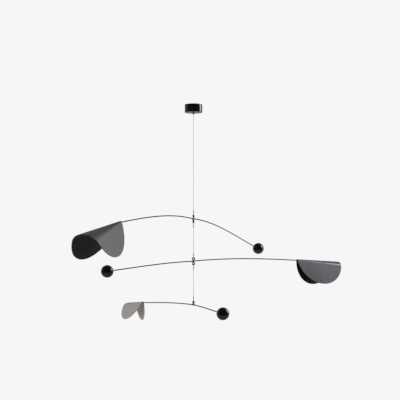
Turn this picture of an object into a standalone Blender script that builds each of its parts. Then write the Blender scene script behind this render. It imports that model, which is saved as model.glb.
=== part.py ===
"""Hanging mobile: three tiered arms, each with a ball and a rolled sheet leaf.

Origin: centre of the ceiling strap's upper face. +Z up, the viewer stands at -Y.
An arm's own axes are: along (level, towards its leaf), across (level, to the
left of along) and up, with the origin at its balance point on the wire line.
"""
import math

import bmesh
import bpy
from mathutils import Matrix, Vector

MM = 0.001

# Clearance between pieces that touch
GAP = 0.3 * MM

# Ceiling part
CANOPY_DIAMETER = 44.0 * MM
CANOPY_HEIGHT = 20.0 * MM
CANOPY_WALL = 1.5 * MM
CANOPY_EDGE_RADIUS = 1.0 * MM
STRAP_THICKNESS = 3.0 * MM
STRAP_WIDTH = 12.0 * MM
STRAP_SCREW_HOLE = 4.2 * MM
STRAP_SCREW_OUT = 13.0 * MM
STUD_DIAMETER = 3.0 * MM
STUD_DEPTH_IN_STRAP = 2.0 * MM
GRIP_DIAMETER = 5.0 * MM
GRIP_LENGTH = 5.0 * MM
GRIP_NECK_DIAMETER = 2.4 * MM
GRIP_NECK_LENGTH = 2.6 * MM
GRIP_CHAMFER = 0.6 * MM
GRIP_BORE_DEPTH = 3.5 * MM

# Suspension wires, with a loop closed by a crimped sleeve at each end
WIRE_DIAMETER = 0.8 * MM
WIRE_POINT_STEP = 12.0 * MM
CRIMP_DIAMETER = 2.4 * MM
CRIMP_LENGTH = 8.0 * MM
CRIMP_CHAMFER = 0.3 * MM
LOOP_LEG = 4.0 * MM

# Arm rods, and the eyes they are bent into at the balance point
ROD_DIAMETER = 2.5 * MM
EYE_HEIGHT = 9.0 * MM
EYE_HALF_WIDTH = 3.2 * MM
EYE_EXIT_RUN = 7.0 * MM
CROSSED_EXIT_RISE = 1.0 * MM
EYE_EXIT_RISE = -0.5 * MM
LEAF_SEAT = 14.0 * MM
BALL_SEAT = 9.0 * MM

# Balls and leaves
UPPER_BALL_DIAMETER = 32.0 * MM
BALL_DIAMETER = 30.0 * MM
SHEET_THICKNESS = 1.5 * MM

# How finely round forms are divided
TURNED_SIDES = 32
BALL_SIDES = 24
SMALL_SIDES = 12
ARM_POINTS = 9
EYE_POINTS = 14
CROWN_STRIPS = 8
WING_STRIPS = 11

# The three arms. heading: compass direction of the leaf, counted from +X.
# lower_eye: whether the rod has a second eye, below the first, for the next wire.
# reach and rise: from the balance point to the leaf's or the ball's surface.
# eye_slope and tip_slope: the rod's pitch as it leaves the eye and at its tip.
# ball: its diameter.
# Leaf: diameter of the flat disc; crown_near and crown_far, the bend radius at
# the rod and at the far edge; fold, the angle that each wing is turned down;
# pitch and roll of the ridge; ridge_offset, from the disc's centre line.
UPPER = {
    "drop": 285.6 * MM,
    "heading": 246.2,
    "lower_eye": True,
    "leaf_rod": {"reach": 376.5 * MM, "rise": -18.2 * MM, "eye_slope": 4.4, "tip_slope": -7.0},
    "ball_rod": {"reach": 438.2 * MM, "rise": -70.4 * MM, "eye_slope": -2.0, "tip_slope": -10.3},
    "ball": UPPER_BALL_DIAMETER,
    "leaf": {"diameter": 160.0 * MM, "crown_near": 2.5 * MM, "crown_far": 33.0 * MM,
             "fold": 69.0, "pitch": -11.2, "roll": -7.4, "ridge_offset": -8.2 * MM},
}
MIDDLE = {
    "drop": 391.4 * MM,
    "heading": 34.4,
    "lower_eye": True,
    "leaf_rod": {"reach": 333.4 * MM, "rise": 0.3 * MM, "eye_slope": 4.0, "tip_slope": -2.8},
    "ball_rod": {"reach": 229.3 * MM, "rise": -21.0 * MM, "eye_slope": -1.8, "tip_slope": -6.4},
    "ball": BALL_DIAMETER,
    "leaf": {"diameter": 144.0 * MM, "crown_near": 2.5 * MM, "crown_far": 20.0 * MM,
             "fold": 75.6, "pitch": -3.0, "roll": -8.7, "ridge_offset": -3.0 * MM},
}
LOWER = {
    "drop": 500.0 * MM,
    "heading": 111.7,
    "lower_eye": False,
    "leaf_rod": {"reach": 405.6 * MM, "rise": -14.8 * MM, "eye_slope": -0.2, "tip_slope": -3.1},
    "ball_rod": {"reach": 176.5 * MM, "rise": -10.6 * MM, "eye_slope": -1.6, "tip_slope": -4.0},
    "ball": BALL_DIAMETER,
    "leaf": {"diameter": 121.0 * MM, "crown_near": 3.4 * MM, "crown_far": 23.2 * MM,
             "fold": 72.7, "pitch": -4.2, "roll": 10.7, "ridge_offset": 3.0 * MM},
}

ROD_RADIUS = ROD_DIAMETER / 2
WIRE_RADIUS = WIRE_DIAMETER / 2
CANOPY_RADIUS = CANOPY_DIAMETER / 2
STUD_HOLE_RADIUS = STUD_DIAMETER / 2 + GAP
GRIP_END = -CANOPY_HEIGHT - GAP - GRIP_LENGTH
EYE_STRAND_PITCH = ROD_DIAMETER + GAP
LOOP_RADIUS = ROD_RADIUS + GAP + WIRE_RADIUS
SMOOTH_ANGLE = math.radians(35)


def clear_scene():
    for thing in list(bpy.data.objects):
        bpy.data.objects.remove(thing, do_unlink=True)


def finish(name, color, roughness, metallic=0.0):
    material = bpy.data.materials.new(name)
    material.use_nodes = True
    shader = material.node_tree.nodes["Principled BSDF"]
    shader.inputs["Base Color"].default_value = (*color, 1.0)
    shader.inputs["Roughness"].default_value = roughness
    shader.inputs["Metallic"].default_value = metallic
    return material


def black_lacquer(name):
    return finish(name, (0.010, 0.010, 0.011), 0.12)


def steel(name):
    return finish(name, (0.55, 0.56, 0.57), 0.30, 1.0)


def rod_coating(name):
    return finish(name, (0.035, 0.035, 0.037), 0.40)


def sheet_paint(name, level):
    return finish(name, (level, level, level * 1.02), 0.45)


def add_mesh_object(name, shape, material):
    bmesh.ops.recalc_face_normals(shape, faces=shape.faces)
    mesh = bpy.data.meshes.new(name)
    shape.to_mesh(mesh)
    shape.free()
    mesh.shade_smooth()
    mesh.set_sharp_from_angle(angle=SMOOTH_ANGLE)
    mesh.materials.append(material)
    piece = bpy.data.objects.new(name, mesh)
    bpy.context.scene.collection.objects.link(piece)
    return piece


def turned(name, profile, sides, material):
    """Revolve a closed profile of (radius, height) points about Z.

    A point at radius 0 lies on the axis; the profile's first and last points may
    both lie there, and then the turned piece is solid on its axis.
    """
    shape = bmesh.new()
    rings = []
    for radius, height in profile:
        if radius == 0:
            rings.append([shape.verts.new((0, 0, height))])
            continue
        ring = []
        for side in range(sides):
            turn = 2 * math.pi * side / sides
            ring.append(shape.verts.new((radius * math.cos(turn), radius * math.sin(turn), height)))
        rings.append(ring)
    on_axis = profile[0][0] == 0 and profile[-1][0] == 0
    pairs = list(zip(rings, rings[1:] if on_axis else rings[1:] + rings[:1]))
    for lower, upper in pairs:
        for side in range(sides):
            after = (side + 1) % sides
            corners = [lower[side % len(lower)], lower[after % len(lower)],
                       upper[after % len(upper)], upper[side % len(upper)]]
            distinct = list(dict.fromkeys(corners))
            if len(distinct) > 2:
                shape.faces.new(distinct)
    return add_mesh_object(name, shape, material)


def quarter_round(radius_at, height_at, radius, steps=3):
    """Points of a rounded lower outer edge, from the underside to the side."""
    points = []
    for step in range(steps + 1):
        turn = math.pi / 2 * step / steps
        points.append((radius_at - radius + radius * math.sin(turn),
                       height_at + radius - radius * math.cos(turn)))
    return points


def tube(name, route, diameter, material):
    curve = bpy.data.curves.new(name, "CURVE")
    curve.dimensions = "3D"
    curve.bevel_depth = diameter / 2
    curve.bevel_resolution = 2
    curve.use_fill_caps = True
    spline = curve.splines.new("POLY")
    spline.points.add(len(route) - 1)
    for point, place in zip(spline.points, route):
        point.co = (*place, 1.0)
    curve.materials.append(material)
    piece = bpy.data.objects.new(name, curve)
    bpy.context.scene.collection.objects.link(piece)
    return piece


def cut(piece, cutter):
    cutter.hide_render = True
    cutter.display_type = "WIRE"
    modifier = piece.modifiers.new(cutter.name, "BOOLEAN")
    modifier.operation = "DIFFERENCE"
    modifier.object = cutter


def straight_route(top, bottom, step):
    count = max(2, math.ceil((top - bottom) / step))
    return [Vector((0, 0, top + (bottom - top) * part / count)) for part in range(count + 1)]


def strap_outline(radius, half_width, steps=6):
    """A bar's outline with round ends that follow the inside of the canopy."""
    widest = math.asin(half_width / radius)
    outline = []
    for side in (0.0, math.pi):
        for step in range(steps + 1):
            turn = side - widest + 2 * widest * step / steps
            outline.append((radius * math.cos(turn), radius * math.sin(turn)))
    return outline


def build_strap():
    outline = strap_outline(CANOPY_RADIUS - CANOPY_WALL - GAP, STRAP_WIDTH / 2)
    shape = bmesh.new()
    face = shape.faces.new([shape.verts.new((x, y, 0)) for x, y in outline])
    lower = bmesh.ops.extrude_face_region(shape, geom=[face])["geom"]
    moved = [piece for piece in lower if isinstance(piece, bmesh.types.BMVert)]
    bmesh.ops.translate(shape, verts=moved, vec=(0, 0, -STRAP_THICKNESS))
    strap = add_mesh_object("ceiling_strap", shape, finish("strap_zinc", (0.55, 0.55, 0.56), 0.4, 1.0))
    for name, out in (("right_screw_hole", STRAP_SCREW_OUT), ("left_screw_hole", -STRAP_SCREW_OUT)):
        cutter = round_cutter(name, STRAP_SCREW_HOLE / 2, STRAP_THICKNESS, -2 * STRAP_THICKNESS)
        cutter.location = (out, 0, 0)
        cut(strap, cutter)
    recess_top = -STRAP_THICKNESS + STUD_DEPTH_IN_STRAP + GAP
    cut(strap, round_cutter("stud_recess", STUD_HOLE_RADIUS, recess_top, -2 * STRAP_THICKNESS))


def round_cutter(name, radius, top, bottom):
    profile = [(0, top), (radius, top), (radius, bottom), (0, bottom)]
    return turned(name, profile, SMALL_SIDES, finish(name, (0.5, 0.5, 0.5), 0.5))


def build_canopy():
    floor = -CANOPY_HEIGHT
    inner = CANOPY_RADIUS - CANOPY_WALL
    turned("canopy", [
        (STUD_HOLE_RADIUS, floor),
        *quarter_round(CANOPY_RADIUS, floor, CANOPY_EDGE_RADIUS),
        (CANOPY_RADIUS, 0),
        (inner, 0),
        (inner, floor + CANOPY_WALL),
        (STUD_HOLE_RADIUS, floor + CANOPY_WALL),
    ], TURNED_SIDES, black_lacquer("canopy_lacquer"))


def build_grip():
    bore = WIRE_RADIUS + GAP
    grip_top = GRIP_END + GRIP_LENGTH
    shoulder = GRIP_END + GRIP_NECK_LENGTH
    stud_top = -STRAP_THICKNESS + STUD_DEPTH_IN_STRAP
    turned("wire_grip", [
        (0, stud_top),
        (STUD_DIAMETER / 2, stud_top),
        (STUD_DIAMETER / 2, grip_top),
        (GRIP_DIAMETER / 2, grip_top),
        (GRIP_DIAMETER / 2, shoulder + GRIP_CHAMFER),
        (GRIP_DIAMETER / 2 - GRIP_CHAMFER, shoulder),
        (GRIP_NECK_DIAMETER / 2, shoulder),
        (GRIP_NECK_DIAMETER / 2, GRIP_END),
        (bore, GRIP_END),
        (bore, GRIP_END + GRIP_BORE_DEPTH + GAP),
        (0, GRIP_END + GRIP_BORE_DEPTH + GAP),
    ], SMALL_SIDES, black_lacquer("grip_lacquer"))


def arm_matrix(arm):
    turn = Matrix.Rotation(math.radians(arm["heading"]), 4, "Z")
    return Matrix.Translation((0, 0, -arm["drop"])) @ turn


def eye_aside(lower_eye):
    """How far each half arm lies beside the balance point's line."""
    return EYE_STRAND_PITCH if lower_eye else EYE_STRAND_PITCH / 2


def eye_route(lower_eye):
    """The rod's bent eyes: a figure of eight, or its upper half, in one stroke.

    It starts and ends at the balance point, on the ball's side and the leaf's
    side of the middle strand, so that the strands lie beside each other.
    """
    turns = 2 * math.pi if lower_eye else math.pi
    count = 2 * EYE_POINTS if lower_eye else EYE_POINTS
    aside = eye_aside(lower_eye)
    route = []
    for step in range(count + 1):
        turn = turns * step / count
        across = 0.0
        if turn < math.pi / 2:
            across = aside * (1 + math.cos(2 * turn)) / 2
        elif turn > turns - math.pi / 2:
            across = -aside * (1 + math.cos(2 * turn)) / 2
        route.append(Vector((EYE_HALF_WIDTH * math.sin(2 * turn), across, EYE_HEIGHT * math.sin(turn))))
    return route


def exit_route(side, rise, slope, aside):
    """Bend from the eye's crossing into the arm, without its two end points."""
    crossing = Vector((2 * EYE_HALF_WIDTH, 0, math.copysign(EYE_HEIGHT, rise))).normalized()
    arm_way = Vector((math.cos(slope), 0, math.sin(slope)))
    start = Vector((0, aside, 0))
    end = Vector((side * EYE_EXIT_RUN, aside, rise))
    start_pull = Vector((side * crossing.x, 0, crossing.z)) * EYE_EXIT_RUN * 1.1
    end_pull = Vector((side * arm_way.x, 0, arm_way.z)) * EYE_EXIT_RUN * 1.1
    return [hermite(start, start_pull, end, end_pull, part / 5) for part in range(1, 5)]


def hermite(start, start_pull, end, end_pull, part):
    square = part * part
    cube = square * part
    return (start * (2 * cube - 3 * square + 1) + start_pull * (cube - 2 * square + part)
            + end * (3 * square - 2 * cube) + end_pull * (cube - square))


def half_route(side, half, rise, aside, tail_pitch, tail):
    """From the eye's exit to the tip, then a straight tail into what it carries."""
    eye_slope = math.radians(half["eye_slope"])
    tip_slope = math.radians(half["tip_slope"])
    start = Vector((side * EYE_EXIT_RUN, aside, rise))
    tip = Vector((side * half["reach"], aside, half["rise"]))
    run = half["reach"] - EYE_EXIT_RUN
    start_pull = Vector((side, 0, math.tan(eye_slope))) * run
    tip_pull = Vector((side, 0, math.tan(tip_slope))) * run
    tail_way = Vector((side * math.cos(tail_pitch), 0, math.sin(tail_pitch)))
    route = exit_route(side, rise, eye_slope, aside)
    route += [hermite(start, start_pull, tip, tip_pull, part / ARM_POINTS) for part in range(ARM_POINTS + 1)]
    route.append(tip + tail_way * tail)
    return route, tip, tail_way


def leaf_direction(angle, cone, fold):
    """Unit vector of the sheet's ruling at a flat angle from the ridge.

    The crown is bent round a cone whose half angle is cone, and each wing runs
    on flat from where the crown has turned by fold.
    """
    side = 1.0 if angle >= 0 else -1.0
    crown_angle = fold * math.sin(cone)
    bent = min(abs(angle), crown_angle) / math.sin(cone)
    flat = max(abs(angle) - crown_angle, 0.0)
    axis = Vector((math.cos(cone), 0, -math.sin(cone)))
    upward = Vector((math.sin(cone), 0, math.cos(cone)))
    sideways = Vector((0, 1, 0))
    ruling = axis * math.cos(cone) + (upward * math.cos(bent) + sideways * math.sin(bent)) * math.sin(cone)
    onward = sideways * math.cos(bent) - upward * math.sin(bent)
    way = ruling * math.cos(flat) + onward * math.sin(flat)
    return Vector((way.x, side * way.y, way.z))


def leaf_angles(middle, widest, crown_angle):
    """Flat angles of the rulings: even over the crown, closer towards the rim's ends."""
    crown = [crown_angle * (2 * step / CROWN_STRIPS - 1) for step in range(CROWN_STRIPS + 1)]
    angles = list(crown)
    for edge, end in ((crown_angle, middle + widest), (-crown_angle, middle - widest)):
        for step in range(1, WING_STRIPS + 1):
            angles.append(edge + (end - edge) * math.sin(math.pi / 2 * step / WING_STRIPS))
    return sorted(angles)


def build_leaf(name, leaf, seat, material):
    """Bent disc. seat is the place and direction of the rod's tail, in arm axes."""
    radius = leaf["diameter"] / 2
    cone = math.atan((leaf["crown_far"] - leaf["crown_near"]) / leaf["diameter"])
    near = leaf["crown_near"] / math.tan(cone)
    fold = math.radians(leaf["fold"])
    offset = leaf["ridge_offset"]
    centre = Vector((near + math.sqrt(radius ** 2 - offset ** 2), offset))
    distance = centre.length
    middle = math.atan2(centre.y, centre.x)
    widest = math.asin(radius / distance) * 0.9995

    tip, along = seat
    across = Vector((0, 0, 1)).cross(along).normalized()
    roll = Matrix.Rotation(math.radians(leaf["roll"]), 3, along)
    across = roll @ across
    up = along.cross(across)
    clearance = SHEET_THICKNESS / 2 + GAP + ROD_RADIUS
    apex = tip + up * clearance - along * near

    shape = bmesh.new()
    rulings = []
    for angle in leaf_angles(middle, widest, fold * math.sin(cone)):
        way = leaf_direction(angle, cone, fold)
        reach = distance * math.cos(angle - middle)
        half_chord = math.sqrt(max(radius ** 2 - (distance * math.sin(angle - middle)) ** 2, 0.0))
        ends = []
        for along_ruling in (reach - half_chord, reach + half_chord):
            spot = way * along_ruling
            ends.append(shape.verts.new(apex + along * spot.x + across * spot.y + up * spot.z))
        rulings.append(ends)
    for before, after in zip(rulings, rulings[1:]):
        shape.faces.new((before[0], before[1], after[1], after[0]))
    piece = add_mesh_object(name, shape, material)
    wall = piece.modifiers.new("sheet", "SOLIDIFY")
    wall.thickness = SHEET_THICKNESS
    wall.offset = 0.0
    wall.use_even_offset = True
    return piece


def build_ball(name, diameter, tip, way, material):
    """Ball on the rod's tip, with a bore for the rod's tail."""
    radius = diameter / 2
    bore = ROD_RADIUS + GAP
    mouth = math.asin(bore / radius)
    rings = BALL_SIDES // 2
    profile = [(0, -radius)]
    for ring in range(1, rings):
        turn = -math.pi / 2 + (math.pi - mouth) * ring / rings
        profile.append((radius * math.cos(turn), radius * math.sin(turn)))
    floor = radius - BALL_SEAT - GAP
    profile += [(bore, radius * math.cos(mouth)), (bore, floor), (0, floor)]
    ball = turned(name, profile, BALL_SIDES, material)
    ball.location = tip + way * radius
    ball.rotation_mode = "QUATERNION"
    ball.rotation_quaternion = (-way).to_track_quat("Z", "Y")
    return ball


def put(piece, holder):
    piece.parent = holder


def build_arm(name, arm, leaf_level):
    holder = bpy.data.objects.new(f"{name}_frame", None)
    bpy.context.scene.collection.objects.link(holder)
    holder.matrix_world = arm_matrix(arm)

    aside = eye_aside(arm["lower_eye"])
    leaf_rise = CROSSED_EXIT_RISE if arm["lower_eye"] else EYE_EXIT_RISE
    ball_pitch = math.radians(arm["ball_rod"]["tip_slope"])
    leaf_pitch = math.radians(arm["leaf"]["pitch"])
    to_ball, ball_tip, ball_way = half_route(-1, arm["ball_rod"], EYE_EXIT_RISE, aside, ball_pitch, BALL_SEAT)
    to_leaf, leaf_tip, leaf_way = half_route(1, arm["leaf_rod"], leaf_rise, -aside, leaf_pitch, LEAF_SEAT)
    route = list(reversed(to_ball)) + eye_route(arm["lower_eye"]) + to_leaf
    put(tube(f"{name}_rod", route, ROD_DIAMETER, rod_coating(f"{name}_rod_coating")), holder)
    put(build_ball(f"{name}_ball", arm["ball"], ball_tip, ball_way,
                   black_lacquer(f"{name}_ball_lacquer")), holder)
    put(build_leaf(f"{name}_leaf", arm["leaf"], (leaf_tip, leaf_way),
                   sheet_paint(f"{name}_leaf_paint", leaf_level)), holder)
    return holder


def build_wire_end(loop_name, crimp_name, holder, way):
    """Loop through a rod's eye with its crimped sleeve; way is +1 above, -1 below."""
    strand = way * EYE_HEIGHT
    leg = WIRE_RADIUS + GAP / 4
    foot = strand + way * LOOP_LEG
    route = [Vector((0, leg, foot)), Vector((0, leg, foot - way * LOOP_LEG * 0.15))]
    bend_steps = 10
    for step in range(bend_steps + 1):
        turn = math.pi * step / bend_steps
        route.append(Vector((0, LOOP_RADIUS * math.cos(turn), strand - way * LOOP_RADIUS * math.sin(turn))))
    route += [Vector((0, -leg, foot - way * LOOP_LEG * 0.15)), Vector((0, -leg, foot))]
    put(tube(loop_name, route, WIRE_DIAMETER, steel(f"{loop_name}_steel")), holder)

    near_end = foot + way * GAP
    far_end = near_end + way * CRIMP_LENGTH
    radius = CRIMP_DIAMETER / 2
    profile = [(0, near_end), (radius - CRIMP_CHAMFER, near_end), (radius, near_end + way * CRIMP_CHAMFER),
               (radius, far_end - way * CRIMP_CHAMFER), (radius - CRIMP_CHAMFER, far_end), (0, far_end)]
    put(turned(crimp_name, profile, SMALL_SIDES, steel(f"{crimp_name}_steel")), holder)


def wire_end_reach():
    """From an arm's balance point to the far end of a crimp, with the gap to the wire."""
    return EYE_HEIGHT + LOOP_LEG + GAP + CRIMP_LENGTH + GAP


def build_wire(name, top, bottom):
    tube(name, straight_route(top, bottom, WIRE_POINT_STEP), WIRE_DIAMETER, steel(f"{name}_steel"))


def build():
    clear_scene()
    build_strap()
    build_canopy()
    build_grip()
    upper = build_arm("upper", UPPER, 0.20)
    middle = build_arm("middle", MIDDLE, 0.14)
    lower = build_arm("lower", LOWER, 0.34)

    build_wire_end("upper_wire_loop", "upper_wire_crimp", upper, 1)
    build_wire_end("middle_wire_top_loop", "middle_wire_top_crimp", upper, -1)
    build_wire_end("middle_wire_loop", "middle_wire_crimp", middle, 1)
    build_wire_end("lower_wire_top_loop", "lower_wire_top_crimp", middle, -1)
    build_wire_end("lower_wire_loop", "lower_wire_crimp", lower, 1)

    reach = wire_end_reach()
    build_wire("upper_wire", GRIP_END + GRIP_BORE_DEPTH, -UPPER["drop"] + reach)
    build_wire("middle_wire", -UPPER["drop"] - reach, -MIDDLE["drop"] + reach)
    build_wire("lower_wire", -MIDDLE["drop"] - reach, -LOWER["drop"] + reach)


build()
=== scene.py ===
import math

import bmesh
import bpy
from mathutils import Matrix, Vector


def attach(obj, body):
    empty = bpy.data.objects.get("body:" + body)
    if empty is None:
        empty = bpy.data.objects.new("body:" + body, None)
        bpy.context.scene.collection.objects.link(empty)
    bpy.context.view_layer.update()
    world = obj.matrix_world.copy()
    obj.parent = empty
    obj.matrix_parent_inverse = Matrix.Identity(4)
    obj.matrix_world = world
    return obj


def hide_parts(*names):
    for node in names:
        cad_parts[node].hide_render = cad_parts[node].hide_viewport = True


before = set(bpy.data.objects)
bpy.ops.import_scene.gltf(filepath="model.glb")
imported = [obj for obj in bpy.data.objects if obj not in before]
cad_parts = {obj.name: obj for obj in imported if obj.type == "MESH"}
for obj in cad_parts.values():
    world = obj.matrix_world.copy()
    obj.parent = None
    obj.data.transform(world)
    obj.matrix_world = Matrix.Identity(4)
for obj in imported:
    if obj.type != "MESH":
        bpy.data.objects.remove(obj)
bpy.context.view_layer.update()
mm = 0.001
print("frame loaded:", len(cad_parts), "nodes")


# camera: level, in front of the mobile, a little below its middle
camera = {
    "place": (17.5 * mm, -2500 * mm, -364.7 * mm),
    "sensor": 36.0,
    "lens": 90.0,               # with that sensor, a field 1 m wide at the wire
    "shift": (-0.00125, 0.12625),
    "farClip": 50,
}


def placeCamera():
    data = bpy.data.cameras.new("camera")
    data.sensor_width = camera["sensor"]
    data.lens = camera["lens"]
    data.shift_x, data.shift_y = camera["shift"]
    data.clip_end = camera["farClip"]
    made = bpy.data.objects.new("camera", data)
    made.location = camera["place"]
    made.rotation_euler = (math.pi / 2, 0, 0)   # looks along +Y
    bpy.context.scene.collection.objects.link(made)
    bpy.context.scene.camera = made


placeCamera()
print("camera placed")


# small helpers

mergeDistance = 1e-7
sharpAngles = {"turned": 35, "ferrule": 50, "swept": 75}    # past these degrees an edge is crisp


def addNode(tree, kind, wires=None, **settings):
    # adds one node, sets it up, and links or fills its inputs
    made = tree.nodes.new(kind)
    for key, value in settings.items():
        setattr(made, key, value)
    for socket, source in (wires or {}).items():
        if isinstance(source, bpy.types.NodeSocket):
            tree.links.new(source, made.inputs[socket])
        else:
            made.inputs[socket].default_value = source
    return made


def linear(hexCode):
    # sRGB hex to the linear RGBA that the shaders take
    parts = [int(hexCode[i:i + 2], 16) / 255 for i in (1, 3, 5)]
    return (*[c / 12.92 if c <= 0.04045 else ((c + 0.055) / 1.055) ** 2.4 for c in parts], 1.0)


def newMaterial(name):
    material = bpy.data.materials.new(name)
    material.use_nodes = True
    tree = material.node_tree
    return material, tree, tree.nodes["Principled BSDF"]


def showMesh(name, mesh, sharpAngle=sharpAngles["turned"]):
    mesh.shade_smooth()
    mesh.set_sharp_from_angle(angle=math.radians(sharpAngle))
    piece = bpy.data.objects.new(name, mesh)
    bpy.context.scene.collection.objects.link(piece)
    return piece


def meshFrom(name, shape, material):
    # closed bmesh to a mesh with its faces pointing out
    bmesh.ops.remove_doubles(shape, verts=shape.verts, dist=mergeDistance)
    bmesh.ops.recalc_face_normals(shape, faces=shape.faces)
    mesh = bpy.data.meshes.new(name)
    shape.to_mesh(mesh)
    shape.free()
    mesh.materials.append(material)
    return mesh


def turnedMesh(name, profile, sides, material, place=None):
    # a closed profile of (radius, height) turned about the upright axis
    shape = bmesh.new()
    rings = []
    for radius, height in profile:
        count = 1 if radius == 0 else sides
        ring = []
        for side in range(count):
            turn = 2 * math.pi * side / sides
            spot = Vector((radius * math.cos(turn), radius * math.sin(turn), height))
            ring.append(shape.verts.new(place @ spot if place else spot))
        rings.append(ring)
    solid = profile[0][0] == 0 and profile[-1][0] == 0
    following = rings[1:] if solid else rings[1:] + rings[:1]
    for lower, upper in zip(rings, following):
        for side in range(sides):
            after = (side + 1) % sides
            corners = [lower[side % len(lower)], lower[after % len(lower)],
                       upper[after % len(upper)], upper[side % len(upper)]]
            distinct = list(dict.fromkeys(corners))
            if len(distinct) > 2:
                shape.faces.new(distinct)
    return meshFrom(name, shape, material)


def arc(centreRadius, centreHeight, radius, startDegrees, endDegrees, steps):
    points = []
    for step in range(steps + 1):
        turn = math.radians(startDegrees + (endDegrees - startDegrees) * step / steps)
        points.append((centreRadius + radius * math.cos(turn),
                       centreHeight + radius * math.sin(turn)))
    return points


# finishes

paintIor = 1.5
noiseSpan = {"From Min": 0.3, "From Max": 0.7}      # where most of a noise pattern's values lie

lacquer = {"colour": "#0b0b0c", "peelWave": 6 * mm, "peelHeight": 0.05 * mm, "peelStrength": 0.05,
           "hazePatch": 20 * mm}


def blackLacquer(name, roughness):
    # sprayed and polished black lacquer: deep black, sharp reflections, a trace of orange peel
    material, tree, shader = newMaterial(name)
    where = addNode(tree, "ShaderNodeTexCoord").outputs["Object"]
    peel = addNode(tree, "ShaderNodeTexNoise", {
        "Vector": where, "Scale": 1 / lacquer["peelWave"], "Detail": 1.0})
    bump = addNode(tree, "ShaderNodeBump", {
        "Height": peel.outputs["Fac"], "Strength": lacquer["peelStrength"],
        "Distance": lacquer["peelHeight"]})
    # handling haze: patches that are up to twice as rough
    haze = addNode(tree, "ShaderNodeTexNoise", {
        "Vector": where, "Scale": 1 / lacquer["hazePatch"], "Detail": 3.0})
    rough = addNode(tree, "ShaderNodeMapRange", {
        "Value": haze.outputs["Fac"], **noiseSpan, "To Min": roughness, "To Max": 2 * roughness})
    shader.inputs["Base Color"].default_value = linear(lacquer["colour"])
    shader.inputs["IOR"].default_value = paintIor
    tree.links.new(rough.outputs["Result"], shader.inputs["Roughness"])
    tree.links.new(bump.outputs["Normal"], shader.inputs["Normal"])
    return material


coat = {"drift": 60 * mm,           # size of the patches in which the tone drifts
        "grain": 0.8 * mm,          # real grain is about 0.2 mm; drawn coarser so that it shows
        "grainShare": 0.35, "grainHeight": 0.04 * mm, "grainStrength": 0.03,
        "smoother": 0.03, "rougher": 0.04}


def powderCoat(name, base, deep, roughness, sheen=0.5):
    # polyester powder coat on sheet: fine baked grain, soft sheen, slight drift of tone
    material, tree, shader = newMaterial(name)
    where = addNode(tree, "ShaderNodeTexCoord").outputs["Object"]
    drift = addNode(tree, "ShaderNodeTexNoise", {
        "Vector": where, "Scale": 1 / coat["drift"], "Detail": 2.0})
    grain = addNode(tree, "ShaderNodeTexNoise", {
        "Vector": where, "Scale": 1 / coat["grain"], "Detail": 2.0})
    both = addNode(tree, "ShaderNodeMix", {
        "Factor": coat["grainShare"], "A": drift.outputs["Fac"], "B": grain.outputs["Fac"]})
    tone = addNode(tree, "ShaderNodeMix", {
        "Factor": both.outputs["Result"], "A": linear(deep), "B": linear(base)}, data_type="RGBA")
    bump = addNode(tree, "ShaderNodeBump", {
        "Height": grain.outputs["Fac"], "Strength": coat["grainStrength"],
        "Distance": coat["grainHeight"]})
    rough = addNode(tree, "ShaderNodeMapRange", {
        "Value": drift.outputs["Fac"], **noiseSpan,
        "To Min": roughness - coat["smoother"], "To Max": roughness + coat["rougher"]})
    shader.inputs["IOR"].default_value = paintIor
    shader.inputs["Specular IOR Level"].default_value = sheen
    tree.links.new(tone.outputs["Result"], shader.inputs["Base Color"])
    tree.links.new(rough.outputs["Result"], shader.inputs["Roughness"])
    tree.links.new(bump.outputs["Normal"], shader.inputs["Normal"])
    return material


rodCoat = {"deep": "#070707", "base": "#0d0d0e", "patch": 15 * mm, "roughness": (0.50, 0.62),
           "sheen": 0.2}


def rodBlack():
    # spring steel rod, stove-blackened: satin, near black, slightly patchy
    material, tree, shader = newMaterial("rodBlack")
    where = addNode(tree, "ShaderNodeTexCoord").outputs["Object"]
    patches = addNode(tree, "ShaderNodeTexNoise", {
        "Vector": where, "Scale": 1 / rodCoat["patch"], "Detail": 4.0})
    tone = addNode(tree, "ShaderNodeMix", {
        "Factor": patches.outputs["Fac"], "A": linear(rodCoat["deep"]),
        "B": linear(rodCoat["base"])}, data_type="RGBA")
    rough = addNode(tree, "ShaderNodeMapRange", {
        "Value": patches.outputs["Fac"], **noiseSpan,
        "To Min": rodCoat["roughness"][0], "To Max": rodCoat["roughness"][1]})
    shader.inputs["IOR"].default_value = paintIor
    shader.inputs["Specular IOR Level"].default_value = rodCoat["sheen"]
    tree.links.new(tone.outputs["Result"], shader.inputs["Base Color"])
    tree.links.new(rough.outputs["Result"], shader.inputs["Roughness"])
    return material


metal = {"smoother": 0.05, "rougher": 0.08}


def bareMetal(name, base, roughness, patch):
    # bare drawn or plated metal: bright, with cloudy patches of the given size
    material, tree, shader = newMaterial(name)
    where = addNode(tree, "ShaderNodeTexCoord").outputs["Object"]
    cloud = addNode(tree, "ShaderNodeTexNoise", {
        "Vector": where, "Scale": 1 / patch, "Detail": 4.0})
    rough = addNode(tree, "ShaderNodeMapRange", {
        "Value": cloud.outputs["Fac"], **noiseSpan,
        "To Min": roughness - metal["smoother"], "To Max": roughness + metal["rougher"]})
    shader.inputs["Base Color"].default_value = linear(base)
    shader.inputs["Metallic"].default_value = 1.0
    tree.links.new(rough.outputs["Result"], shader.inputs["Roughness"])
    return material


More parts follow.
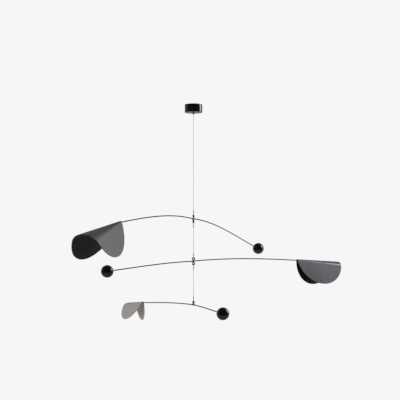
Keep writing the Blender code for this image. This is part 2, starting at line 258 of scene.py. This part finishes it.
canopyLacquer = blackLacquer("canopyLacquer", 0.15)
ballLacquer = blackLacquer("ballLacquer", 0.02)
rodFinish = rodBlack()
stainlessWire = bareMetal("stainlessWire", "#b9b6b0", 0.62, 4 * mm)
ferruleMetal = bareMetal("ferruleAluminium", "#f0f0ee", 0.7, 3 * mm)
zincPlate = bareMetal("zincPlate", "#b4b6b7", 0.42, 8 * mm)
leafFinish = {      # outside, then the side inside the roll, painted to stand for the light and shade inside the roll
    "upper": (powderCoat("graphiteCoatUpper", "#43434c", "#393942", 0.42),
              # near black inside: painted shade, standing for the shade inside the roll
              powderCoat("paintedShadeInsideUpper", "#110d0b", "#0d0907", 0.62, 0.2)),
    "middle": (powderCoat("graphiteCoatMiddle", "#41414b", "#373740", 0.31, 0.42),
               # near black inside: painted shade, standing for the shade inside the roll
               powderCoat("paintedShadeInsideMiddle", "#0c0c0c", "#080808", 0.62, 0.2)),
    "lower": (powderCoat("paleGreyCoat", "#969694", "#8c8c8a", 0.46),
              # inside painted paler than the outside: painted light, standing for light falling
              # into the roll
              powderCoat("paintedLightInsideLower", "#c8c0bc", "#bbb3af", 0.5)),
}
print("finishes made")


# canopy, strap and grip: turned parts on the wire line

canopyShape = {"diameter": 44 * mm, "height": 20 * mm, "wall": 1.5 * mm, "edge": 1.0 * mm,
               "mouthEdge": 0.3 * mm, "hole": 3.6 * mm, "sides": 128, "edgeSteps": 8,
               "mouthSteps": 3, "innerSteps": 5}


def makeCanopy():
    shape = canopyShape
    outer = shape["diameter"] / 2
    inner = outer - shape["wall"]
    floor = -shape["height"]
    lip = shape["mouthEdge"]
    profile = [(shape["hole"] / 2, floor)]
    profile += arc(outer - shape["edge"], floor + shape["edge"], shape["edge"], -90, 0,
                   shape["edgeSteps"])
    profile += arc(outer - lip, -lip, lip, 0, 90, shape["mouthSteps"])
    profile += [(inner, 0), (inner, floor + 2 * shape["wall"])]
    profile += arc(inner - shape["wall"], floor + 2 * shape["wall"], shape["wall"], 0, -90,
                   shape["innerSteps"])
    profile += [(shape["hole"] / 2, floor + shape["wall"])]
    return showMesh("canopyCup", turnedMesh("canopyCup", profile, shape["sides"], canopyLacquer))


gripShape = {"diameter": 5 * mm, "length": 5 * mm, "edge": 0.6 * mm, "edgeSteps": 6,
             "gap": 0.3 * mm, "stud": 3 * mm, "studTop": -1.0 * mm, "studEdge": 0.3 * mm,
             "neck": 2.4 * mm, "neckLength": 2.6 * mm, "brokenEdge": 0.2 * mm, "bore": 1.4 * mm,
             "boreDepth": 3.8 * mm, "wireDepth": 3.5 * mm, "sides": 48}
gripTop = -canopyShape["height"] - gripShape["gap"]
gripEnd = gripTop - gripShape["length"]


def makeGrip():
    shape = gripShape
    half = shape["diameter"] / 2
    stud = shape["stud"] / 2
    bore = shape["bore"] / 2
    neck = shape["neck"] / 2
    edge, studEdge, broken = shape["edge"], shape["studEdge"], shape["brokenEdge"]
    shoulder = gripEnd + shape["neckLength"]
    profile = [(0, shape["studTop"]), (stud - studEdge, shape["studTop"]),
               (stud, shape["studTop"] - studEdge), (stud, gripTop), (half - broken, gripTop),
               (half, gripTop - broken)]
    profile += arc(half - edge, shoulder + edge, edge, 0, -90, shape["edgeSteps"])
    profile += [(neck, shoulder), (neck, gripEnd + broken), (neck - broken, gripEnd)]
    profile += [(bore, gripEnd), (bore, gripEnd + shape["boreDepth"]),
                (0, gripEnd + shape["boreDepth"])]
    return showMesh("gripNipple", turnedMesh("gripNipple", profile, shape["sides"], canopyLacquer))


canopyCup = makeCanopy()
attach(canopyCup, "canopy")
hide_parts("canopy")
gripNipple = makeGrip()
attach(gripNipple, "canopy")
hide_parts("wire_grip")
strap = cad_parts["ceiling_strap"]
for slot in strap.material_slots:
    slot.link = "OBJECT"
    slot.material = zincPlate
print("ceiling part made")


# geometry node trees: a rod swept along a path, a twisted wire strand and a bent leaf

def newTree(name, inputs):
    tree = bpy.data.node_groups.new(name, "GeometryNodeTree")
    for label, kind, value in inputs:
        socket = tree.interface.new_socket(label, in_out="INPUT", socket_type=kind)
        if value is not None:
            socket.default_value = value
    tree.interface.new_socket("Finish", in_out="INPUT", socket_type="NodeSocketMaterial")
    tree.interface.new_socket("Shape", in_out="OUTPUT", socket_type="NodeSocketGeometry")
    return tree, addNode(tree, "NodeGroupInput")


def closeTree(tree, given, shape):
    realized = addNode(tree, "GeometryNodeRealizeInstances", {"Geometry": shape})
    painted = addNode(tree, "GeometryNodeSetMaterial", {
        "Geometry": realized.outputs["Geometry"], "Material": given.outputs["Finish"]})
    addNode(tree, "NodeGroupOutput", {"Shape": painted.outputs["Geometry"]})
    return tree


def rodTree():
    # a round rod along the path
    tree, given = newTree("rodAlongPath", [
        ("Path", "NodeSocketGeometry", None), ("Diameter", "NodeSocketFloat", 2 * mm),
        ("Sides", "NodeSocketInt", 24)])
    path = addNode(tree, "GeometryNodeMeshToCurve", {"Mesh": given.outputs["Path"]})
    half = addNode(tree, "ShaderNodeMath", {0: given.outputs["Diameter"], 1: 0.5},
                   operation="MULTIPLY")
    ring = addNode(tree, "GeometryNodeCurvePrimitiveCircle", {
        "Resolution": given.outputs["Sides"], "Radius": half.outputs[0]})
    swept = addNode(tree, "GeometryNodeCurveToMesh", {
        "Curve": path.outputs["Curve"], "Profile Curve": ring.outputs["Curve"], "Fill Caps": True})
    return closeTree(tree, given, swept.outputs["Mesh"])


def strandTree():
    # wires laid round a core wire, turning once in each lay length
    tree, given = newTree("twistedStrand", [
        ("Path", "NodeSocketGeometry", None),
        ("Diameter", "NodeSocketFloat", 0.8 * mm), ("Outer Wires", "NodeSocketInt", 6),
        ("Lay Length", "NodeSocketFloat", 6 * mm), ("Steps Per Lay", "NodeSocketInt", 10),
        ("Sides", "NodeSocketInt", 6)])
    size = given.outputs
    path = addNode(tree, "GeometryNodeMeshToCurve", {"Mesh": size["Path"]})
    step = addNode(tree, "ShaderNodeMath", {0: size["Lay Length"], 1: size["Steps Per Lay"]},
                   operation="DIVIDE")
    fine = addNode(tree, "GeometryNodeResampleCurve", {
        "Curve": path.outputs["Curve"], "Length": step.outputs[0]}, mode="LENGTH")
    along = addNode(tree, "GeometryNodeSplineParameter")
    turns = addNode(tree, "ShaderNodeMath", {0: along.outputs["Length"], 1: size["Lay Length"]},
                    operation="DIVIDE")
    angle = addNode(tree, "ShaderNodeMath", {0: turns.outputs[0], 1: 2 * math.pi},
                    operation="MULTIPLY")
    twisted = addNode(tree, "GeometryNodeSetCurveTilt", {
        "Curve": fine.outputs["Curve"], "Tilt": angle.outputs[0]})
    # three thin wires side by side fill the strand's diameter
    third = addNode(tree, "ShaderNodeMath", {0: size["Diameter"], 1: 3.0}, operation="DIVIDE")
    sixth = addNode(tree, "ShaderNodeMath", {0: size["Diameter"], 1: 6.0}, operation="DIVIDE")
    around = addNode(tree, "GeometryNodeCurvePrimitiveCircle", {
        "Resolution": size["Outer Wires"], "Radius": third.outputs[0]})
    wire = addNode(tree, "GeometryNodeCurvePrimitiveCircle", {
        "Resolution": size["Sides"], "Radius": sixth.outputs[0]})
    spots = addNode(tree, "GeometryNodeCurveToPoints", {"Curve": around.outputs["Curve"]},
                    mode="EVALUATED")
    outer = addNode(tree, "GeometryNodeInstanceOnPoints", {
        "Points": spots.outputs["Points"], "Instance": wire.outputs["Curve"]})
    section = addNode(tree, "GeometryNodeJoinGeometry", {"Geometry": outer.outputs["Instances"]})
    tree.links.new(wire.outputs["Curve"], section.inputs["Geometry"])
    profile = addNode(tree, "GeometryNodeRealizeInstances", {
        "Geometry": section.outputs["Geometry"]})
    swept = addNode(tree, "GeometryNodeCurveToMesh", {
        "Curve": twisted.outputs["Curve"], "Profile Curve": profile.outputs["Geometry"],
        "Fill Caps": True})
    return closeTree(tree, given, swept.outputs["Mesh"])


edgeMargin = 0.99995    # keeps the outermost strip a hair inside the disc
leafRule = [    # result, operation, then its inputs: earlier results, the tree's inputs or numbers
    ("growth", "SUBTRACT", "Crown Far", "Crown Near"),
    ("slope", "DIVIDE", "growth", "Diameter"),
    ("cone", "ARCTANGENT", "slope"),
    ("coneSine", "SINE", "cone"),
    ("coneCosine", "COSINE", "cone"),
    ("radius", "MULTIPLY", "Diameter", 0.5),
    ("radiusSquare", "MULTIPLY", "radius", "radius"),
    ("asideSquare", "MULTIPLY", "Ridge Offset", "Ridge Offset"),
    # the disc's centre as seen from the cone's tip
    ("tipToNear", "DIVIDE", "Crown Near", "slope"),
    ("ridgeSquare", "SUBTRACT", "radiusSquare", "asideSquare"),
    ("halfRidge", "SQRT", "ridgeSquare"),
    ("centre", "ADD", "tipToNear", "halfRidge"),
    ("distanceSquare", "MULTIPLY_ADD", "centre", "centre", "asideSquare"),
    ("distance", "SQRT", "distanceSquare"),
    ("middle", "ARCTAN2", "Ridge Offset", "centre"),
    ("radiusShare", "DIVIDE", "radius", "distance"),
    ("tangent", "ARCSINE", "radiusShare"),
    ("widest", "MULTIPLY", "tangent", edgeMargin),
    ("crown", "MULTIPLY", "Fold", "coneSine"),
    ("minusCrown", "MULTIPLY", "crown", -1.0),
    # strips lie even over the crown and closer towards the sheet's edges
    ("countAcross", "ADD", "Strips Across", 1.0),
    ("countAlong", "ADD", "Strips Along", 1.0),
    ("crownPart", "DIVIDE", "X", "Crown Share"),
    ("crownPartBelow", "MINIMUM", "crownPart", 1.0),
    ("inside", "MAXIMUM", "crownPartBelow", -1.0),
    ("insideWidth", "MULTIPLY", "inside", "Crown Share"),
    ("outsideWidth", "SUBTRACT", "X", "insideWidth"),
    ("wingShare", "SUBTRACT", 1.0, "Crown Share"),
    ("beyond", "DIVIDE", "outsideWidth", "wingShare"),
    ("wingTurn", "MULTIPLY", "beyond", math.pi / 2),
    ("wing", "SINE", "wingTurn"),
    ("wingWidth", "SUBTRACT", "widest", "crown"),
    ("crownAngle", "MULTIPLY", "inside", "crown"),
    ("evenAngle", "MULTIPLY_ADD", "wing", "wingWidth", "crownAngle"),
    ("wingPart", "ABSOLUTE", "wing"),
    ("angle", "MULTIPLY_ADD", "wingPart", "middle", "evenAngle"),
    # the crown's part of the angle curls and the rest stays flat
    ("angleBelow", "MINIMUM", "angle", "crown"),
    ("curled", "MAXIMUM", "angleBelow", "minusCrown"),
    ("flat", "SUBTRACT", "angle", "curled"),
    ("flatSine", "SINE", "flat"),
    ("flatCosine", "COSINE", "flat"),
    ("bent", "DIVIDE", "curled", "coneSine"),
    ("minusBent", "MULTIPLY", "bent", -1.0),
    # where the straight line at this angle enters and leaves the disc
    ("turned", "SUBTRACT", "angle", "middle"),
    ("turnedSine", "SINE", "turned"),
    ("turnedCosine", "COSINE", "turned"),
    ("offLine", "MULTIPLY", "distance", "turnedSine"),
    ("offLineSquare", "MULTIPLY", "offLine", "offLine"),
    ("chordSquare", "SUBTRACT", "radiusSquare", "offLineSquare"),
    ("chordSquareAbove", "MAXIMUM", "chordSquare", 0.0),
    ("halfChord", "SQRT", "chordSquareAbove"),
    ("alongTurn", "MULTIPLY", "Y", math.pi / 2),
    ("alongPart", "SINE", "alongTurn"),
    ("chordMiddle", "MULTIPLY", "distance", "turnedCosine"),
    ("reach", "MULTIPLY_ADD", "halfChord", "alongPart", "chordMiddle"),
    ("laidX", "MULTIPLY", "reach", "flatCosine"),
    ("laidY", "MULTIPLY", "reach", "flatSine"),
    ("axisZ", "MULTIPLY", "coneSine", -1.0),
]


def leafTree():
    # a flat disc bent over a narrow cone: the cone's tip is the origin and the crest runs along X
    tree, given = newTree("bentLeaf", [
        ("Diameter", "NodeSocketFloat", 150 * mm), ("Crown Near", "NodeSocketFloat", 3 * mm),
        ("Crown Far", "NodeSocketFloat", 24 * mm), ("Fold", "NodeSocketFloat", 1.25),
        ("Ridge Offset", "NodeSocketFloat", 0.0), ("Crown Share", "NodeSocketFloat", 0.3),
        ("Strips Across", "NodeSocketInt", 124), ("Strips Along", "NodeSocketInt", 28)])
    position = addNode(tree, "GeometryNodeInputPosition")
    where = addNode(tree, "ShaderNodeSeparateXYZ", {0: position.outputs[0]})
    known = {**dict(given.outputs.items()), **dict(where.outputs.items())}
    for result, operation, *inputs in leafRule:
        wires = {i: known.get(value, value) for i, value in enumerate(inputs)}
        known[result] = addNode(tree, "ShaderNodeMath", wires, operation=operation).outputs[0]
    sheet = addNode(tree, "GeometryNodeMeshGrid", {
        "Size X": 2.0, "Size Y": 2.0, "Vertices X": known["countAcross"],
        "Vertices Y": known["countAlong"]})
    laid = addNode(tree, "ShaderNodeCombineXYZ", {"X": known["laidX"], "Y": known["laidY"]})
    axis = addNode(tree, "ShaderNodeCombineXYZ", {"X": known["coneCosine"], "Z": known["axisZ"]})
    rolled = addNode(tree, "ShaderNodeVectorRotate", {
        "Vector": laid.outputs[0], "Axis": axis.outputs[0], "Angle": known["minusBent"]})
    leaf = addNode(tree, "GeometryNodeSetPosition", {
        "Geometry": sheet.outputs["Mesh"], "Position": rolled.outputs[0]})
    return closeTree(tree, given, leaf.outputs["Geometry"])


def runTree(name, tree, start, values):
    # runs a tree on a mesh and gives back a plain mesh
    guide = bpy.data.objects.new(name, start)
    bpy.context.scene.collection.objects.link(guide)
    modifier = guide.modifiers.new("build", "NODES")
    modifier.node_group = tree
    sockets = {item.name: item.identifier for item in tree.interface.items_tree
               if item.in_out == "INPUT"}
    for label, value in values.items():
        modifier[sockets[label]] = value
    view = bpy.context.evaluated_depsgraph_get()
    mesh = bpy.data.meshes.new_from_object(guide.evaluated_get(view))
    guide.modifiers.remove(modifier)
    bpy.data.objects.remove(guide)
    return mesh


def sweep(name, tree, route, values):
    line = bpy.data.meshes.new(name + "Path")
    line.from_pydata(route, [(i, i + 1) for i in range(len(route) - 1)], [])
    mesh = runTree(name + "Path", tree, line, values)
    shape = bmesh.new()
    shape.from_mesh(mesh)
    bpy.data.meshes.remove(mesh)
    return showMesh(name, meshFrom(name, shape, values["Finish"]), sharpAngles["swept"])


rodSweep = rodTree()
strandSweep = strandTree()
leafBend = leafTree()


# the three arms: rod, ball and leaf

rodShape = {"diameter": 2.5 * mm, "sides": 20, "eyeHeight": 9 * mm, "eyeHalfWidth": 3.2 * mm,
            "exitRun": 7 * mm, "exitPull": 1.1, "exitPoints": 14, "crossedExitRise": 1.0 * mm,
            "exitRise": -0.5 * mm, "strandPitch": 2.8 * mm, "leafSeat": 14 * mm,
            "ballSeat": 9 * mm, "armPoints": 64, "eyePoints": 48, "joinTurn": math.radians(45)}
ballShape = {"bore": 3.1 * mm, "boreDepth": 9.3 * mm, "mouthEdge": 0.15 * mm, "sides": 96,
             "rings": 48}
sheetShape = {"thickness": 1.5 * mm, "crownStrips": 36, "wingStrips": 44, "lengthStrips": 28,
              "edgeRound": 0.25 * mm, "edgeSteps": 3, "edgeAngle": 60, "rodClearance": 2.3 * mm}

arms = {        # lengths in mm, angles in degrees
    "upper": {
        "drop": 285.6, "heading": 246.2, "lowerEye": True, "ball": 32.0,
        "leafRod": {"reach": 376.5, "rise": -18.2, "eyeSlope": 4.4, "tipSlope": -7.0},
        "ballRod": {"reach": 438.2, "rise": -70.4, "eyeSlope": -2.0, "tipSlope": -10.3},
        "leaf": {"diameter": 160.0, "crownNear": 2.5, "crownFar": 33.0, "fold": 69.0,
                 "pitch": -11.2, "roll": -7.4, "ridgeOffset": -8.2},
    },
    "middle": {
        "drop": 391.4, "heading": 34.4, "lowerEye": True, "ball": 30.0,
        "leafRod": {"reach": 333.4, "rise": 0.3, "eyeSlope": 4.0, "tipSlope": -2.8},
        "ballRod": {"reach": 229.3, "rise": -21.0, "eyeSlope": -1.8, "tipSlope": -6.4},
        "leaf": {"diameter": 144.0, "crownNear": 2.5, "crownFar": 20.0, "fold": 75.6,
                 "pitch": -3.0, "roll": -8.7, "ridgeOffset": -3.0},
    },
    "lower": {
        "drop": 500.0, "heading": 111.7, "lowerEye": False, "ball": 30.0,
        "leafRod": {"reach": 405.6, "rise": -14.8, "eyeSlope": -0.2, "tipSlope": -3.1},
        "ballRod": {"reach": 176.5, "rise": -10.6, "eyeSlope": -1.6, "tipSlope": -4.0},
        "leaf": {"diameter": 121.0, "crownNear": 3.4, "crownFar": 23.2, "fold": 72.7,
                 "pitch": -4.2, "roll": 10.7, "ridgeOffset": 3.0},
    },
}


def armPlace(arm):
    turn = Matrix.Rotation(math.radians(arm["heading"]), 4, "Z")
    return Matrix.Translation((0, 0, -arm["drop"] * mm)) @ turn


def eased(start, startPull, end, endPull, part):
    # cubic from start to end that leaves and arrives along the pulls
    square = part * part
    cube = square * part
    return (start * (2 * cube - 3 * square + 1) + startPull * (cube - 2 * square + part)
            + end * (3 * square - 2 * cube) + endPull * (cube - square))


def eyePath(arm):
    # figure of eight, or its upper half, with its two ends lying side by side
    turns = 2 * math.pi if arm["lowerEye"] else math.pi
    aside = rodShape["strandPitch"] * (1 if arm["lowerEye"] else 0.5)
    count = rodShape["eyePoints"] * (2 if arm["lowerEye"] else 1)
    join = rodShape["joinTurn"]
    route = []
    for step in range(count + 1):
        turn = turns * step / count
        across = 0.0
        if turn < join:
            across = aside * (1 + math.cos(math.pi * turn / join)) / 2
        elif turn > turns - join:
            across = -aside * (1 + math.cos(math.pi * (turns - turn) / join)) / 2
        route.append(Vector((rodShape["eyeHalfWidth"] * math.sin(2 * turn), across,
                             rodShape["eyeHeight"] * math.sin(turn))))
    return route, aside


def halfPath(side, half, rise, aside, tailPitch, tail):
    # out of the eye, along the bowed half arm, then straight into what it carries
    reach, drop = half["reach"] * mm, half["rise"] * mm
    eyeSlope, tipSlope = math.radians(half["eyeSlope"]), math.radians(half["tipSlope"])
    run = rodShape["exitRun"]
    pull = run * rodShape["exitPull"]
    crossing = Vector((2 * rodShape["eyeHalfWidth"], 0,
                       math.copysign(rodShape["eyeHeight"], rise))).normalized()
    start = Vector((side * run, aside, rise))
    tip = Vector((side * reach, aside, drop))
    outward = Vector((side * crossing.x, 0, crossing.z)) * pull
    level = Vector((side * math.cos(eyeSlope), 0, math.sin(eyeSlope))) * pull
    tailWay = Vector((side * math.cos(tailPitch), 0, math.sin(tailPitch)))
    steps = rodShape["exitPoints"]
    route = [eased(Vector((0, aside, 0)), outward, start, level, part / steps)
             for part in range(1, steps)]
    startPull = Vector((side, 0, math.tan(eyeSlope))) * (reach - run)
    tipPull = Vector((side, 0, math.tan(tipSlope))) * (reach - run)
    steps = rodShape["armPoints"]
    route += [eased(start, startPull, tip, tipPull, part / steps) for part in range(steps + 1)]
    route.append(tip + tailWay * tail)
    return route, tip, tailWay


def makeBall(name, diameter, place, tip, way):
    # polished ball with a bored seat for the rod's end
    radius = diameter * mm / 2
    bore = ballShape["bore"] / 2
    edge = ballShape["mouthEdge"]
    mouth = math.asin((bore + edge) / radius)
    profile = [(0, -radius)]
    for ring in range(1, ballShape["rings"] + 1):
        turn = -math.pi / 2 + (math.pi - mouth) * ring / ballShape["rings"]
        profile.append((radius * math.cos(turn), radius * math.sin(turn)))
    floor = radius - ballShape["boreDepth"]
    profile += [(bore, radius * math.cos(mouth) - edge), (bore, floor), (0, floor)]
    stand = (-way).to_track_quat("Z", "Y").to_matrix().to_4x4()
    spot = place @ Matrix.Translation(tip + way * radius) @ stand
    return showMesh(name, turnedMesh(name, profile, ballShape["sides"], ballLacquer, spot))


def makeLeaf(name, leaf, place, tip, along, finish):
    # flat disc bent over a narrow cone, with flat wings down both sides
    strips = sheetShape["crownStrips"] + 2 * sheetShape["wingStrips"]
    near, far, wide = leaf["crownNear"] * mm, leaf["crownFar"] * mm, leaf["diameter"] * mm
    mesh = runTree(name, leafBend, bpy.data.meshes.new(name), {
        "Diameter": wide, "Crown Near": near, "Crown Far": far,
        "Fold": math.radians(leaf["fold"]), "Ridge Offset": leaf["ridgeOffset"] * mm,
        "Crown Share": sheetShape["crownStrips"] / strips, "Strips Across": strips,
        "Strips Along": sheetShape["lengthStrips"], "Finish": finish[0]})
    across = Vector((0, 0, 1)).cross(along).normalized()
    across = Matrix.Rotation(math.radians(leaf["roll"]), 3, along) @ across
    up = along.cross(across)
    apex = tip + up * sheetShape["rodClearance"] - along * (near * wide / (far - near))
    stand = Matrix((along, across, up)).transposed().to_4x4()
    mesh.transform(place @ Matrix.Translation(apex) @ stand)

    shape = bmesh.new()
    shape.from_mesh(mesh)
    bmesh.ops.recalc_face_normals(shape, faces=shape.faces)
    crest = max(shape.faces, key=lambda face: face.calc_center_median().z)
    if crest.normal.z < 0:      # the outside looks up at the ridge
        bmesh.ops.reverse_faces(shape, faces=shape.faces)
    shape.to_mesh(mesh)
    shape.free()
    mesh.materials.append(finish[1])
    piece = showMesh(name, mesh)
    wall = piece.modifiers.new("sheet", "SOLIDIFY")
    wall.thickness = sheetShape["thickness"]
    wall.offset = 0.0
    wall.use_even_offset = True
    wall.material_offset = 1    # the inside takes the second finish, with its painted shade or painted light
    rim = piece.modifiers.new("rim", "BEVEL")   # the sheet's cut edge, tumbled smooth
    rim.width = sheetShape["edgeRound"]
    rim.segments = sheetShape["edgeSteps"]
    rim.limit_method = "ANGLE"
    rim.angle_limit = math.radians(sheetShape["edgeAngle"])
    return piece


def makeArm(name, arm):
    place = armPlace(arm)
    body = name + "_arm"
    eye, aside = eyePath(arm)
    leafRise = rodShape["crossedExitRise"] if arm["lowerEye"] else rodShape["exitRise"]
    ballPitch = math.radians(arm["ballRod"]["tipSlope"])
    leafPitch = math.radians(arm["leaf"]["pitch"])
    toBall, ballTip, ballWay = halfPath(-1, arm["ballRod"], rodShape["exitRise"], aside,
                                        ballPitch, rodShape["ballSeat"])
    toLeaf, leafTip, leafWay = halfPath(1, arm["leafRod"], leafRise, -aside, leafPitch,
                                        rodShape["leafSeat"])
    route = [place @ spot for spot in list(reversed(toBall)) + eye + toLeaf]
    rod = sweep(name + "Rod", rodSweep, route, {
        "Diameter": rodShape["diameter"], "Sides": rodShape["sides"], "Finish": rodFinish})
    ball = makeBall(name + "Ball", arm["ball"], place, ballTip, ballWay)
    leaf = makeLeaf(name + "Leaf", arm["leaf"], place, leafTip, leafWay, leafFinish[name])
    for piece, node, slotName in ((rod, "rod", "rod_black"), (ball, "ball", "black_gloss"),
                                  (leaf, "leaf", "leaf_" + name)):
        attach(piece, body)
        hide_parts(name + "_" + node)
    print(name, "arm made")


for name, arm in arms.items():
    makeArm(name, arm)


# suspension wires: a twisted strand, and a loop with a pressed ferrule at each end on an eye

wireShape = {"diameter": 0.8 * mm, "layLength": 6 * mm, "stepsPerLay": 10, "sides": 6,
             "gap": 0.3 * mm, "pathSteps": 20}
ferruleShape = {"diameter": 2.4 * mm, "length": 8 * mm, "edge": 0.3 * mm, "dents": 3,
                "dentDepth": 0.08 * mm, "steps": 30, "sides": 24}
loopShape = {"leg": 4 * mm, "legGap": wireShape["gap"] / 4, "neckShare": 0.15, "bendSteps": 14}
endReach = (rodShape["eyeHeight"] + loopShape["leg"] + ferruleShape["length"]
            + 2 * wireShape["gap"])


def loopPath(way):
    # round the rod's eye strand and back into the ferrule
    radius = rodShape["diameter"] / 2 + wireShape["gap"] + wireShape["diameter"] / 2
    strand = way * rodShape["eyeHeight"]
    leg = wireShape["diameter"] / 2 + loopShape["legGap"]
    foot = strand + way * loopShape["leg"]
    neck = foot - way * loopShape["leg"] * loopShape["neckShare"]
    route = [Vector((0, leg, foot)), Vector((0, leg, neck))]
    for step in range(loopShape["bendSteps"] + 1):
        turn = math.pi * step / loopShape["bendSteps"]
        route.append(Vector((0, radius * math.cos(turn), strand - way * radius * math.sin(turn))))
    return route + [Vector((0, -leg, neck)), Vector((0, -leg, foot))]


def ferruleMesh(name, place, start, way):
    # round sleeve with pressed rings, where the tool bit
    shape = ferruleShape
    half, edge, length = shape["diameter"] / 2, shape["edge"], shape["length"]
    profile = [(0, 0), (half - edge, 0), (half, edge)]
    for step in range(1, shape["steps"]):
        part = step / shape["steps"]
        dent = max(0.0, math.sin(math.pi * (2 * shape["dents"] * part - 0.5))) ** 2
        profile.append((half - shape["dentDepth"] * dent, edge + (length - 2 * edge) * part))
    profile += [(half, length - edge), (half - edge, length), (0, length)]
    stand = place @ Matrix.Translation((0, 0, start)) @ Matrix.Scale(way, 4, (0, 0, 1))
    return turnedMesh(name, profile, shape["sides"], ferruleMetal, stand)


def makeWireEnd(loopNode, ferruleNode, arm, body, way):
    place = armPlace(arm)
    route = [place @ spot for spot in loopPath(way)]
    loop = sweep(loopNode + "Strand", strandSweep, route, {
        "Diameter": wireShape["diameter"], "Lay Length": wireShape["layLength"],
        "Steps Per Lay": 2 * wireShape["stepsPerLay"],      # the bend needs closer steps
        "Sides": wireShape["sides"], "Finish": stainlessWire})
    start = way * (rodShape["eyeHeight"] + loopShape["leg"] + wireShape["gap"])
    sleeve = ferruleNode + "Sleeve"
    ferrule = showMesh(sleeve, ferruleMesh(sleeve, place, start, way), sharpAngles["ferrule"])
    for piece, node, slotName in ((loop, loopNode, "wire_steel"),
                                  (ferrule, ferruleNode, "crimp_metal")):
        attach(piece, body)
        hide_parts(node)
    return [loop, ferrule]


def makeWire(name, body, top, bottom):
    count = wireShape["pathSteps"]
    route = [Vector((0, 0, top + (bottom - top) * step / count)) for step in range(count + 1)]
    wire = sweep(name + "Strand", strandSweep, route, {
        "Diameter": wireShape["diameter"], "Lay Length": wireShape["layLength"],
        "Steps Per Lay": wireShape["stepsPerLay"], "Sides": wireShape["sides"],
        "Finish": stainlessWire})
    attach(wire, body)
    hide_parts(name)


upper, middle, lower = arms["upper"], arms["middle"], arms["lower"]
upperEnd = makeWireEnd("upper_wire_loop", "upper_wire_crimp", upper, "upper_arm", 1)
middleTop = makeWireEnd("middle_wire_top_loop", "middle_wire_top_crimp", upper, "upper_arm", -1)
middleEnd = makeWireEnd("middle_wire_loop", "middle_wire_crimp", middle, "middle_arm", 1)
lowerTop = makeWireEnd("lower_wire_top_loop", "lower_wire_top_crimp", middle, "middle_arm", -1)
lowerEnd = makeWireEnd("lower_wire_loop", "lower_wire_crimp", lower, "lower_arm", 1)
makeWire("upper_wire", "upper_arm", gripEnd + gripShape["wireDepth"],
         -upper["drop"] * mm + endReach)
makeWire("middle_wire", "middle_arm", -upper["drop"] * mm - endReach,
         -middle["drop"] * mm + endReach)
makeWire("lower_wire", "lower_arm", -middle["drop"] * mm - endReach,
         -lower["drop"] * mm + endReach)
print("wires made")


# studio: round pale floor, white surround, soft lights from both sides

studio = {
    "floorHeight": -1.5, "floorRadius": 2.6, "floorEdge": 0.02, "floorSides": 96,
    "floorEdgeSteps": 12, "floorColour": "#f0f0f0", "floorRoughness": 0.9,
    "background": "#f6f6f6",
    "cameraShade": "#3c3c3c",       # the room that lights the object, on the camera's side
    "roomShades": (    # then the other sides, each over what is before it: axis, from, to, shade
        ("Y", -0.4, 0.6, "#c2c2c2"),        # behind the object
        ("Z", -0.3, -0.6, "#b8b2aa"),       # below
        ("Z", 0.35, 0.9, "#5c4529"),        # above
    ),
    "boxes": {    # place, size in metres, watts, whether gloss mirrors it
        "keyBox": ((1.58, 0.4, 0.38), (0.45, 1.3), 20, True),
        "rightFill": ((1.9, -0.3, -0.1), (1.4, 1.4), 20, False),
        "leftFill": ((-1.8, -0.7, -0.2), (1.4, 1.4), 40, False),
    },
    "floorWash": ((0, 0, 1.5), (5, 5), 50, False),
    "aim": (0, 0, -0.42),
}


def makeFloor():
    # thin disc with a rounded edge, painted matt
    radius, edge, top = studio["floorRadius"], studio["floorEdge"], studio["floorHeight"]
    rim = arc(radius, top - edge, edge, 90, -90, studio["floorEdgeSteps"])
    profile = [(0, top)] + rim + [(0, top - 2 * edge)]
    paint, _, shader = newMaterial("floorPaint")
    shader.inputs["Base Color"].default_value = linear(studio["floorColour"])
    shader.inputs["Roughness"].default_value = studio["floorRoughness"]
    disc = turnedMesh("studioFloor", profile, studio["floorSides"], paint)
    floor = showMesh("studioFloor", disc)
    floor.visible_diffuse = False    # only the camera sees it, so it throws no light up
    floor.visible_glossy = False
    return floor


def addSoftbox(name, place, size, watts, mirrored):
    data = bpy.data.lights.new(name, "AREA")
    data.shape = "RECTANGLE"
    data.size, data.size_y = size
    data.energy = watts
    made = bpy.data.objects.new(name, data)
    made.location = place
    aim = Vector(studio["aim"]) - Vector(place)
    made.rotation_euler = aim.to_track_quat("-Z", "Y").to_euler()
    made.visible_glossy = mirrored
    bpy.context.scene.collection.objects.link(made)
    return made


def makeSurround():
    # the camera sees plain white; the object is lit by a dim room that is brighter behind it
    world = bpy.data.worlds.new("studioSurround")
    world.use_nodes = True
    tree = world.node_tree
    tree.nodes.clear()
    where = addNode(tree, "ShaderNodeTexCoord")
    split = addNode(tree, "ShaderNodeSeparateXYZ", {"Vector": where.outputs["Generated"]})
    room = linear(studio["cameraShade"])
    for axis, start, end, shade in studio["roomShades"]:
        part = addNode(tree, "ShaderNodeMapRange", {
            "Value": split.outputs[axis], "From Min": start, "From Max": end})
        room = addNode(tree, "ShaderNodeMix", {
            "Factor": part.outputs["Result"], "A": room, "B": linear(shade)},
            data_type="RGBA").outputs["Result"]
    roomLight = addNode(tree, "ShaderNodeBackground", {"Color": room})
    paper = addNode(tree, "ShaderNodeBackground", {"Color": linear(studio["background"])})
    rays = addNode(tree, "ShaderNodeLightPath")
    chosen = addNode(tree, "ShaderNodeMixShader", {
        "Fac": rays.outputs["Is Camera Ray"], 1: roomLight.outputs["Background"],
        2: paper.outputs["Background"]})
    addNode(tree, "ShaderNodeOutputWorld", {"Surface": chosen.outputs["Shader"]})
    bpy.context.scene.world = world
    bpy.context.scene.view_settings.view_transform = "Standard"
    bpy.context.scene.view_settings.look = "None"


floor = makeFloor()
for name, box in studio["boxes"].items():
    addSoftbox(name, *box)
# a wash from straight above that lights the floor alone keeps it pale
wash = addSoftbox("floorWash", *studio["floorWash"])
wash.rotation_euler = (0, 0, 0)
wash.light_linking.receiver_collection = bpy.data.collections.new("floorOnly")
wash.light_linking.receiver_collection.objects.link(floor)
makeSurround()
print("studio made")
